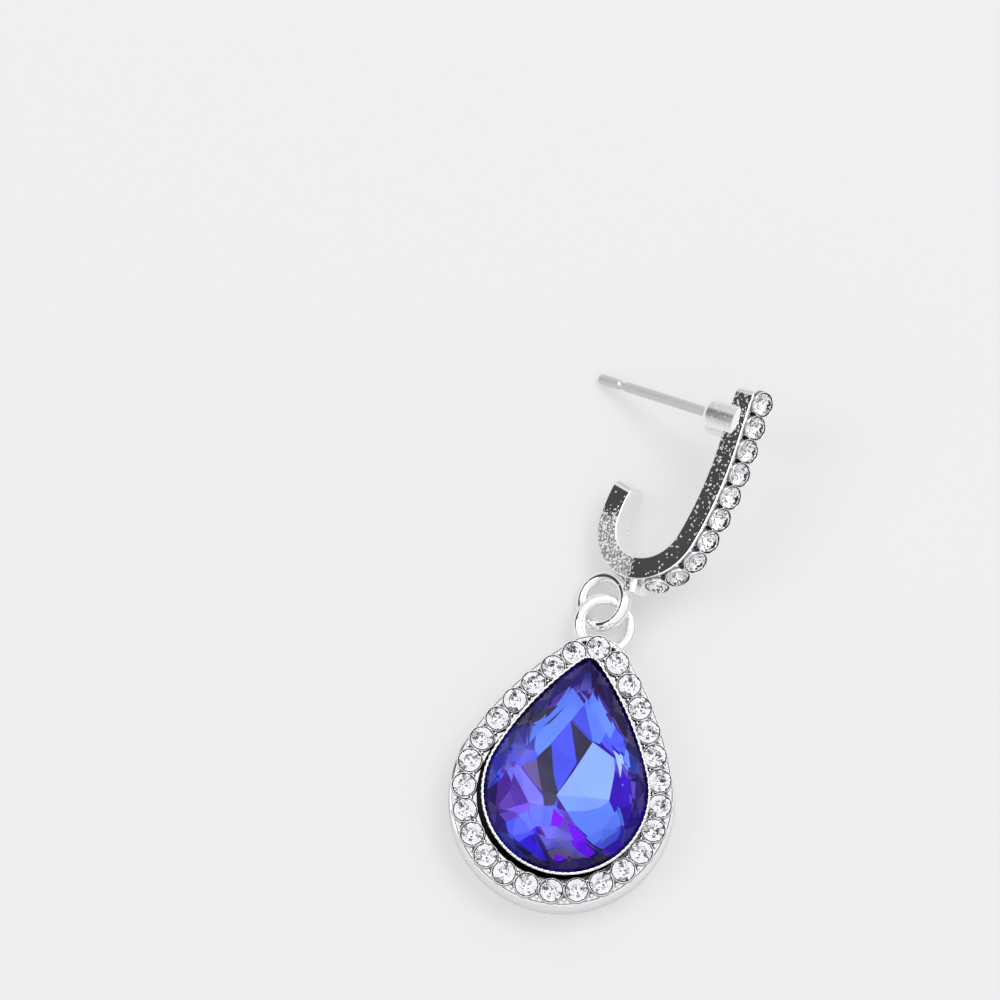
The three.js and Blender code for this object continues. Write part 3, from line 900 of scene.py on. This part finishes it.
# %% From a pixel of the photograph to the back of the crystal
IMAGE_WIDTH = 1000
PIXEL = CAMERA_DISTANCE / MM * SENSOR_WIDTH / FOCAL_LENGTH / IMAGE_WIDTH
GLASS_SLANT = 0.43


def on_back(column, row):
    """The spot that shows at a pixel, in the crystal's own frame. In the glass the view slants on."""
    right = (column - IMAGE_WIDTH / 2) * PIXEL
    up = (IMAGE_WIDTH / 2 - row) * PIXEL - (PEAR_GIRDLE_Z + PEAR_CROWN) * math.cos(CAMERA_HEIGHT)
    seen = Vector((right, up / math.sin(CAMERA_HEIGHT) + GLASS_SLANT, 0))
    on_table = CAMERA_AIM / MM + Matrix.Rotation(CAMERA_AZIMUTH, 4, "Z") @ seen
    spot = CENTRE_PLACE.inverted() @ on_table
    return round(spot.x, 2), round(spot.y, 2)


print("a pixel is", round(PIXEL, 3), "mm, and the tip of the crystal is at", on_back(590, 660))

# %% Large facets of the back, each with its corners in the photograph
# Each facet's tone is the foil's colour made lighter or darker with painted light and shade.
BACK_FACETS = (
    ("soft_violet", ((590, 662), (603, 712), (616, 706), (606, 680))),
    ("grey_violet", ((602, 713), (618, 705), (637, 745), (636, 765), (624, 748), (610, 728))),
    ("lavender", ((584, 676), (590, 672), (590, 694), (577, 696))),
    ("grey_violet", ((584, 666), (590, 664), (590, 673), (583, 677))),
    ("mid_blue", ((537, 700), (550, 692), (566, 684), (562, 697), (550, 707), (538, 718))),
    ("dark_violet", ((520, 700), (537, 700), (538, 722), (510, 732), (508, 718))),
    ("nearly_black", ((537, 723), (548, 712), (562, 708), (553, 718), (538, 729))),
    ("light_blue", (
        (574, 690), (584, 703), (551, 741), (538, 753),
        (534, 748), (537, 728), (549, 722), (562, 708),
    )),
    ("light_blue", ((588, 693), (600, 716), (607, 728), (599, 742), (592, 739), (583, 704))),
    ("mid_blue", ((584, 703), (592, 739), (588, 743), (572, 717), (578, 709))),
    ("nearly_black", ((570, 719), (592, 741), (577, 759))),
    ("mid_blue", ((551, 742), (570, 720), (576, 760), (557, 790), (552, 770))),
    ("lavender", ((508, 735), (520, 730), (534, 727), (535, 748), (521, 764), (520, 748))),
    ("lavender", ((508, 738), (519, 745), (518, 762), (544, 795), (542, 803), (528, 799), (512, 768))),
    ("mid_blue", ((487, 757), (500, 737), (509, 734), (510, 766), (505, 779), (492, 786))),
    ("grey_violet", ((522, 763), (536, 756), (542, 788), (535, 782))),
    ("nearly_black", ((536, 756), (551, 742), (553, 772), (558, 791), (554, 802), (544, 803))),
    ("dark_violet", ((494, 786), (508, 776), (527, 800), (505, 807))),
    ("pale_blue", ((592, 740), (613, 756), (614, 766), (609, 797), (585, 794), (556, 792), (572, 770))),
    ("sky_blue", ((556, 792), (585, 794), (609, 797), (600, 804), (585, 808), (566, 808))),
    ("light_blue", (
        (566, 808), (585, 808), (600, 804), (609, 797),
        (616, 818), (603, 826), (590, 836), (575, 822),
    )),
    ("mid_blue", ((590, 836), (603, 826), (616, 818), (620, 830), (597, 840))),
    ("ultramarine", ((608, 798), (614, 768), (621, 778), (624, 806), (617, 818))),
    ("soft_violet", ((621, 778), (634, 778), (640, 800), (632, 818), (624, 806))),
    ("mid_blue", ((607, 728), (618, 741), (616, 755), (605, 746), (600, 740))),
    ("light_blue", ((617, 748), (632, 757), (631, 772), (621, 770), (614, 760))),
    ("mid_blue", ((530, 801), (556, 804), (563, 813), (556, 823), (540, 823), (529, 808))),
    ("violet", ((553, 805), (564, 816), (558, 823), (550, 822))),
    ("mid_blue", ((512, 815), (527, 808), (532, 822), (522, 833), (514, 828))),
    ("pure_blue", ((522, 833), (536, 823), (548, 853), (532, 842))),
    ("navy", ((516, 836), (532, 842), (548, 853), (547, 863), (530, 852))),
    ("lavender", ((540, 823), (556, 823), (573, 833), (590, 850), (578, 846), (558, 834), (548, 838))),
    ("violet", ((566, 818), (576, 824), (593, 842), (585, 848), (572, 836))),
    ("grey_violet", (
        (548, 840), (558, 834), (580, 848), (592, 853),
        (592, 866), (570, 868), (550, 860),
    )),
    ("violet", ((557, 842), (566, 847), (561, 856), (553, 850))),
    ("nearly_black", ((592, 846), (604, 848), (613, 851), (601, 859), (593, 862))),
    ("violet", (
        (597, 840), (620, 831), (621, 845), (641, 833),
        (618, 862), (601, 866), (613, 851), (600, 847),
    )),
    ("ultramarine", ((620, 820), (640, 803), (645, 815), (641, 833), (621, 845))),
)
# The belt of small back facets round the girdle gets darker tones: painted shade.
BELT_TONES = (
    "dark_violet", "soft_violet", "ultramarine", "dark_violet",
    "soft_violet", "grey_violet", "mid_blue", "soft_violet",
    "dark_violet", "soft_violet", "mid_blue", "dark_violet",
    "soft_violet", "navy", "dark_violet", "ultramarine",
)
print("large back facets", len(BACK_FACETS))


# %% Depth of the back
PEAR_GIRDLE_HALF = 0.05


def outline_share(x, y):
    """How far a spot lies from the middle (0) towards the girdle (1)."""
    outline = pear_corners(1.0, 0.0, 240)
    spot = Vector((x, y))
    if spot.length < 0.01:
        return 0.0
    nearest = max(outline, key=lambda p: p.xy.normalized().dot(spot.normalized()))
    return spot.length / nearest.xy.length


def back_depth(share):
    waist = PEAR_BACK * PEAR_BACK_LEVEL
    if share > PEAR_BACK_SHARE:
        slope = (waist - PEAR_GIRDLE_HALF) / (1 - PEAR_BACK_SHARE)
        return PEAR_GIRDLE_HALF + slope * (1 - share)
    inward = (PEAR_BACK_SHARE - share) / (PEAR_BACK_SHARE - PEAR_KEEL_SHARE)
    return waist + (PEAR_BACK - waist) * min(1.0, inward)


print("the back is", round(back_depth(0), 2), "mm deep at the keel")


# %% Faces of the back
OUTERMOST_CORNER = 0.95
SAME_SPOT = 0.02


def make_back(girdle_ring):
    """Corners (the girdle's first), faces and the tone of each face."""
    waist_ring = pear_corners(PEAR_BACK_SHARE, 0, FACET_COUNT, 0.25)
    spots = [p.xy for p in girdle_ring + waist_ring]
    outlines = [list(range(len(girdle_ring)))]
    for _, pixels in BACK_FACETS:
        corners = [on_back(*pixel) for pixel in pixels]
        numbers = list(range(len(spots), len(spots) + len(corners)))
        ahead = corners[1:] + corners[:1]
        area = sum(x * next_y - next_x * y for (x, y), (next_x, next_y) in zip(corners, ahead))
        outlines.append(numbers if area > 0 else numbers[::-1])
        for corner in corners:
            spots.append(Vector(corner) * min(1.0, OUTERMOST_CORNER / outline_share(*corner)))
    found = delaunay_2d_cdt(spots, [], outlines, 1, SAME_SPOT, True)
    flat_points, _, faces, sources, _, owners = found
    order = {}
    for i, source in enumerate(sources):
        for index in source:
            if index < len(girdle_ring):
                order[i] = index
    others = [i for i in range(len(flat_points)) if i not in order]
    order.update({i: len(girdle_ring) + k for k, i in enumerate(others)})
    corners = list(girdle_ring) + [
        Vector((*flat_points[i], -back_depth(outline_share(*flat_points[i])))) for i in others
    ]
    tones = []
    for face, owner in zip(faces, owners):
        patch = max(owner)
        if patch == 0:
            middle = sum((flat_points[i] for i in face), Vector((0, 0))) / len(face)
            turn = math.atan2(middle.y, middle.x) / (2 * math.pi) % 1.0
            tones.append(BELT_TONES[int(turn * len(BELT_TONES))])
        else:
            tones.append(BACK_FACETS[patch - 1][0])
    return corners, [[order[i] for i in face][::-1] for face in faces], tones


# %% Build the big crystal
def make_big_crystal():
    around = 2 * FACET_COUNT
    rows = (
        pear_corners(TABLE_SHARE, PEAR_CROWN, FACET_COUNT),
        pear_corners(CROWN_SHARE, PEAR_CROWN * CROWN_LEVEL, FACET_COUNT, 0.5),
        pear_corners(1.0, PEAR_GIRDLE_HALF, around),
    )
    table, crown, upper, lower = (sum(len(row) for row in rows[:i]) for i in range(4))
    back_corners, back, back_tones = make_back(pear_corners(1.0, -PEAR_GIRDLE_HALF, around))
    front = crown_faces(table, crown, upper, FACET_COUNT)
    girdle = girdle_faces(upper, lower, around)
    shape = Shape()
    shape.add([p for row in rows for p in row] + back_corners, front + girdle)
    shape.faces += [[lower + i for i in face] for face in back]
    shape.finishes += [1] * len(back)
    place = CENTRE_PLACE @ Matrix.Translation((0, 0, PEAR_GIRDLE_Z))
    finishes = [blue_glass, foil_colour_and_painted_light]
    crystal = make_piece("pear_crystal", shape, finishes, "pear_stone", place, FACETED)
    # The tone attribute carries the foil colour with its painted light and shade.
    tone = crystal.data.attributes.new("tone", "FLOAT", "FACE")
    tones = [0.5] * (len(front) + len(girdle)) + [FOIL_TONES[name] for name in back_tones]
    tone.data.foreach_set("value", tones)
    return crystal


pear_crystal = make_big_crystal()
print("big crystal", len(pear_crystal.data.polygons), "facets")

# %% [markdown]
# The small round crystals
#
# All the round stones are one cut: an octagonal table, eight star facets, eight kites, sixteen
# small facets, a thin girdle and a pointed back. A few facets of the back have a darker copy of the
# foil, painted shade that stands in for dark reflections, so every stone shows some dark wedges. Each
# stone is turned by another angle in its seat, so no two of them flash alike.


# %% One round brilliant
ROUND_RADIUS = 0.885
ROUND_CROWN = 0.36
ROUND_BACK = 0.72
ROUND_GIRDLE_HALF = 0.025
# Back facets whose foil is the darker copy, painted shade.
PAINTED_SHADE_BACK = (0, 7, 14, 23, 28)


def circle(radius, height, count, start=0.0):
    turns = [2 * math.pi * (i + start) / count for i in range(count)]
    return [Vector((radius * math.cos(a), radius * math.sin(a), height)) for a in turns]


def round_brilliant():
    rows = (
        circle(ROUND_RADIUS * 0.56, ROUND_CROWN, 8),
        circle(ROUND_RADIUS * 0.8, ROUND_CROWN * 0.6, 8, 0.5),
        circle(ROUND_RADIUS, ROUND_GIRDLE_HALF, 16),
        circle(ROUND_RADIUS, -ROUND_GIRDLE_HALF, 16),
        circle(ROUND_RADIUS * 0.36, -ROUND_BACK * 0.66, 8, 0.5),
        [Vector((0, 0, -ROUND_BACK))],
    )
    table, crown, upper, lower, waist, point = (sum(len(row) for row in rows[:i]) for i in range(6))
    front = crown_faces(table, crown, upper, 8)
    girdle = girdle_faces(upper, lower, 16)
    back = []
    for i in range(8):
        ahead = [lower + (2 * i + k) % 16 for k in range(3)]
        back += [[waist + i, ahead[1], ahead[0]], [waist + i, ahead[2], ahead[1]]]
        back.append([waist + i, waist + (i + 1) % 8, ahead[2]])
        back.append([point, waist + (i + 1) % 8, waist + i])
    shape = Shape()
    shape.add([p for row in rows for p in row], front + girdle)
    shape.faces += back
    shape.finishes += [2 if i in PAINTED_SHADE_BACK else 1 for i in range(len(back))]
    return shape


round_cut = round_brilliant()
print("a round brilliant has", len(round_cut.faces), "facets")

# %% Stones of the halo
GOLDEN_TURN = math.radians(137.5)


def set_round_stones(kind, places):
    finishes = [clear_glass, silver_foil, painted_shade_foil]
    for i, place in enumerate(places):
        crystal, stone = f"{kind}_crystal_{i + 1:02d}", f"{kind}_stone_{i + 1:02d}"
        turned = place @ Matrix.Rotation(i * GOLDEN_TURN, 4, "Z")
        make_piece(crystal, round_cut, finishes, stone, turned, FACETED)


set_round_stones("halo", [Matrix.Translation(spot) for spot in halo_spots])
print("halo crystals", len(halo_spots))

# %% [markdown]
# The hook
#
# The bar is swept along its bent line with a rounded rectangular section. Beside the round corners
# the section has an extra point on each flat, which keeps the shading of the flats really flat.
# The cups, the boss, the eye and the small block are further shells of the same casting.


# %% Section of the bar
BAR_WIDTH = 2.3
BAR_CORNER = 0.12
BAR_END_ROUND = 0.72
CHANNEL_DEPTH = 0.35
CHANNEL_WIDTH = 0.8


def bar_section(shrink, channel=0.0):
    """Pairs of (outward, across) for one section: even round corners, and a channel under the stones."""
    section = []
    for quarter_index, (side, across) in enumerate(((1, 1), (-1, 1), (-1, -1), (1, -1))):
        for step in (-0.12, 0.0, 0.2, 0.4, 0.6, 0.8, 1.0, 1.12):
            angle = math.pi / 2 * (quarter_index + min(1.0, max(0.0, step)))
            out = side * (BAR_THICKNESS / 2 - BAR_CORNER) + BAR_CORNER * math.cos(angle)
            wide = across * (BAR_WIDTH / 2 - BAR_CORNER) + BAR_CORNER * math.sin(angle)
            slide = BAR_CORNER * (min(0.0, step) + max(0.0, step - 1))
            out += -math.sin(angle) * slide
            wide += math.cos(angle) * slide
            section.append((out * shrink, wide * shrink))
    face = BAR_THICKNESS / 2
    wall, brim = CHANNEL_WIDTH / 2, CHANNEL_WIDTH / 2 + 0.02
    for wide, depth in ((-brim, 0.0), (-wall, channel), (wall, channel), (brim, 0.0)):
        section.append(((face - depth) * shrink, wide * shrink))
    return section


def bar_stations():
    """Distances along the bar, each with how far the rounded end shrinks the section there."""
    stations = []
    for t in (0.0, 0.08, 0.2, 0.35, 0.55, 0.78):
        stations.append((BAR_END_ROUND * t, 0.5 + 0.5 * math.sqrt(1 - (1 - t) ** 2)))
    start = 0.0
    for segment in HOOK_SEGMENTS:
        length = segment_length(segment)
        for i in range(1, segment["steps"] + 1):
            distance = start + length * i / segment["steps"]
            if BAR_END_ROUND < distance < hook_length - BAR_END_ROUND:
                stations.append((distance, 1.0))
        start += length
    tail = [(hook_length - d, shrink) for d, shrink in stations[:6]][::-1]
    return stations + tail


print("the bar's section has", len(bar_section(1.0)), "corners, at", len(bar_stations()), "places")


# %% Sweep along the bar
def add_bar(shape):
    rings = []
    channel_end = up_to_bend + HOOK_SEGMENTS[2]["radius"] * math.radians(55)
    for distance, shrink in bar_stations():
        point, _, outward = along_hook(distance)
        channel = CHANNEL_DEPTH if BAR_END_ROUND < distance < channel_end else 0.0
        section = bar_section(shrink, channel)
        rings.append([point + outward * out + Vector((0, 0, wide)) for out, wide in section])
    points, faces = loft(rings)
    shape.add(points, faces)


def casting_roughness(distance):
    """How rough the casting was left: much at the top and round the heel, little between."""
    top = max(0.0, 1.0 - distance / 15.0)
    heel = distance - up_to_bend - segment_length(HOOK_SEGMENTS[2]) * 0.95
    heel_length = segment_length(HOOK_SEGMENTS[3]) + 0.35 * segment_length(HOOK_SEGMENTS[4])
    inside = max(0.0, min(1.0, heel / 0.3, (heel_length - heel) / 0.8))
    return 0.08 + 0.95 * top**0.8 + 4.6 * inside


hook_shape = Shape()
add_bar(hook_shape)
bar_casting = [casting_roughness(d) for d, _ in bar_stations() for _ in bar_section(1.0)]
print("bar", len(hook_shape.faces), "faces")

# %% Cups on the outer side
HOOK_GIRDLE = 1.37
HOOK_STONES = 10
HOOK_PITCH = 1.96
HOOK_STONE_TILT = math.radians(15)
HOOK_STONE_SHIFT = 0.1
hook_spots = [along_hook(BAR_TOP + i * HOOK_PITCH, HOOK_GIRDLE) for i in range(HOOK_STONES)]
hook_settings = [
    facing_out(point + Vector((0, 0, HOOK_STONE_SHIFT)), heading, HOOK_STONE_TILT)
    for point, heading, _ in hook_spots
]
for setting in hook_settings:
    add_cup(hook_shape, setting, **HOOK_CUP)
print("hook settings", len(hook_settings))


# %% Boss, eye and block
BLOCK_SIZE = (1.9, 1.2, 2.0)
BLOCK_TURN = math.radians(86)
BOSS_RADIUS = 1.6
BOSS_LENGTH = 2.3
BOSS_ROUND = 0.7
POST_DROP = 1.85
POST_TURN = math.radians(2.5)
POST_RADIUS = 0.4
POST_LINE = (
    Matrix.Translation((0, -POST_DROP, 0))
    @ Matrix.Rotation(-POST_TURN, 4, "Z")
    @ Matrix.Rotation(-math.pi / 2, 4, "Y")
)


def add_boss(shape):
    end = BAR_THICKNESS / 2 + BOSS_LENGTH
    profile = [(0, 0), (BOSS_RADIUS, 0)]
    profile += quarter((BOSS_RADIUS - BOSS_ROUND, end - BOSS_ROUND), BOSS_ROUND, 90, 10)[::-1]
    profile += [(POST_RADIUS + 0.06, end), (POST_RADIUS + 0.03, end - 0.05), (0, end - 0.05)]
    points, faces = lathe(profile, 64)
    shape.add(points, faces, POST_LINE, finish=1)


def add_block(shape):
    into_bend = HOOK_SEGMENTS[2]["radius"] * (BLOCK_TURN - HOOK_SEGMENTS[1]["turn"])
    point, heading, _ = along_hook(up_to_bend + into_bend)
    block = bmesh.new()
    bmesh.ops.create_cube(block, size=1.0)
    bmesh.ops.scale(block, vec=BLOCK_SIZE, verts=block.verts)
    bmesh.ops.translate(block, vec=(0, 0, BLOCK_SIZE[2] / 2), verts=block.verts)
    bmesh.ops.bevel(block, geom=block.edges[:], offset=0.12, segments=3, profile=0.5, affect="EDGES")
    block.verts.index_update()
    points = [corner.co.copy() for corner in block.verts]
    faces = [[corner.index for corner in face.verts] for face in block.faces]
    shape.add(points, faces, facing_out(point, heading))
    block.free()


add_boss(hook_shape)
print("boss added,", len(hook_shape.faces), "faces")

# %% Finish the hook casting
BLOCK_CASTING = 4.0
OTHER_CASTING = 0.15
block_start = len(hook_shape.points)
add_block(hook_shape)
block_end = len(hook_shape.points)
eye_points, eye_faces = torus(EYE_RADIUS, EYE_WIRE)
hook_shape.add(eye_points, eye_faces, Matrix.Translation(eye_centre))
hook = make_piece("hook_casting", hook_shape, [as_cast, satin], "ear_hook", HOOK_PLACE)
casting = hook.data.attributes.new("casting", "FLOAT", "POINT")
roughness = bar_casting + [OTHER_CASTING] * (len(hook.data.vertices) - len(bar_casting))
roughness[block_start:block_end] = [BLOCK_CASTING] * (block_end - block_start)
casting.data.foreach_set("value", roughness)
print("hook casting", len(hook.data.polygons), "faces")

# %% Stones of the hook
set_round_stones("hook", [HOOK_PLACE @ setting for setting in hook_settings])
print("hook crystals", len(hook_settings))

# %% [markdown]
# The post
#
# The post is a plain steel pin with a shallow groove near its tip, where the clutch snaps in. It is
# drawn wire and isn't plated, so it is duller and greyer than the castings. The profile of half the
# pin is turned on the lathe, groove and rounded tip included.

# %% Steel post
POST_LENGTH = 11.2
POST_SOCKET = 1.8
GROOVE_FROM_TIP = 2.35
GROOVE_LENGTH = 0.7
GROOVE_DEPTH = 0.12
POST_TIP_ROUND = 0.16
SOCKET_GAP = 0.1
steel = make_metal(
    "drawn_steel", (0.68, 0.68, 0.69), (0.2, 0.2, 0.2),
    {"Speck Share": 0.02, "Roughness": 0.46, "Grain Size": 6000.0}, bump=0.3,
)


def make_post():
    length = POST_SOCKET + POST_LENGTH
    groove = length - GROOVE_FROM_TIP
    profile = [(0, SOCKET_GAP), (POST_RADIUS, SOCKET_GAP), (POST_RADIUS, groove - GROOVE_LENGTH / 2)]
    for i in range(1, 12):
        sunk = GROOVE_DEPTH * math.sin(math.pi * i / 12) ** 0.7
        profile.append((POST_RADIUS - sunk, groove + GROOVE_LENGTH * (i / 12 - 0.5)))
    profile.append((POST_RADIUS, groove + GROOVE_LENGTH / 2))
    tip = (POST_RADIUS - POST_TIP_ROUND, length - POST_TIP_ROUND)
    profile += quarter(tip, POST_TIP_ROUND, 90, 6)[::-1]
    profile.append((0, length))
    shape = Shape()
    points, faces = lathe(profile, 40)
    shape.add(points, faces)
    socket = Matrix.Translation((0, 0, BAR_THICKNESS / 2 + BOSS_LENGTH - POST_SOCKET))
    place = HOOK_PLACE @ POST_LINE @ socket
    return make_piece("steel_post", shape, [steel], "ear_post", place)


post = make_post()
print("post", len(post.data.polygons), "faces")

# %% [markdown]
# The table
#
# The earring lies on a plain pale sheet that is also lit from below, as on a light table. So only
# the faintest shadows show on it.


# %% Pale sheet
SHEET_TONE = 0.4
SHEET_GLOW = 0.37
SHEET_GAP = 0.02 * MM


def make_sheet():
    material, _, shader = new_material("pale_sheet")
    shader.inputs["Base Color"].default_value = (SHEET_TONE, SHEET_TONE, SHEET_TONE, 1)
    shader.inputs["Emission Color"].default_value = (1, 1, 1, 1)
    shader.inputs["Emission Strength"].default_value = SHEET_GLOW
    shader.inputs["Roughness"].default_value = 0.8
    mesh = bpy.data.meshes.new("sheet")
    mesh.from_pydata([(-3, -3, 0), (3, -3, 0), (3, 3, 0), (-3, 3, 0)], [], [(0, 1, 2, 3)])
    mesh.materials.append(material)
    sheet = bpy.data.objects.new("sheet", mesh)
    sheet.location.z = -SHEET_GAP
    scene.collection.objects.link(sheet)


make_sheet()
print("the sheet lies under the earring")
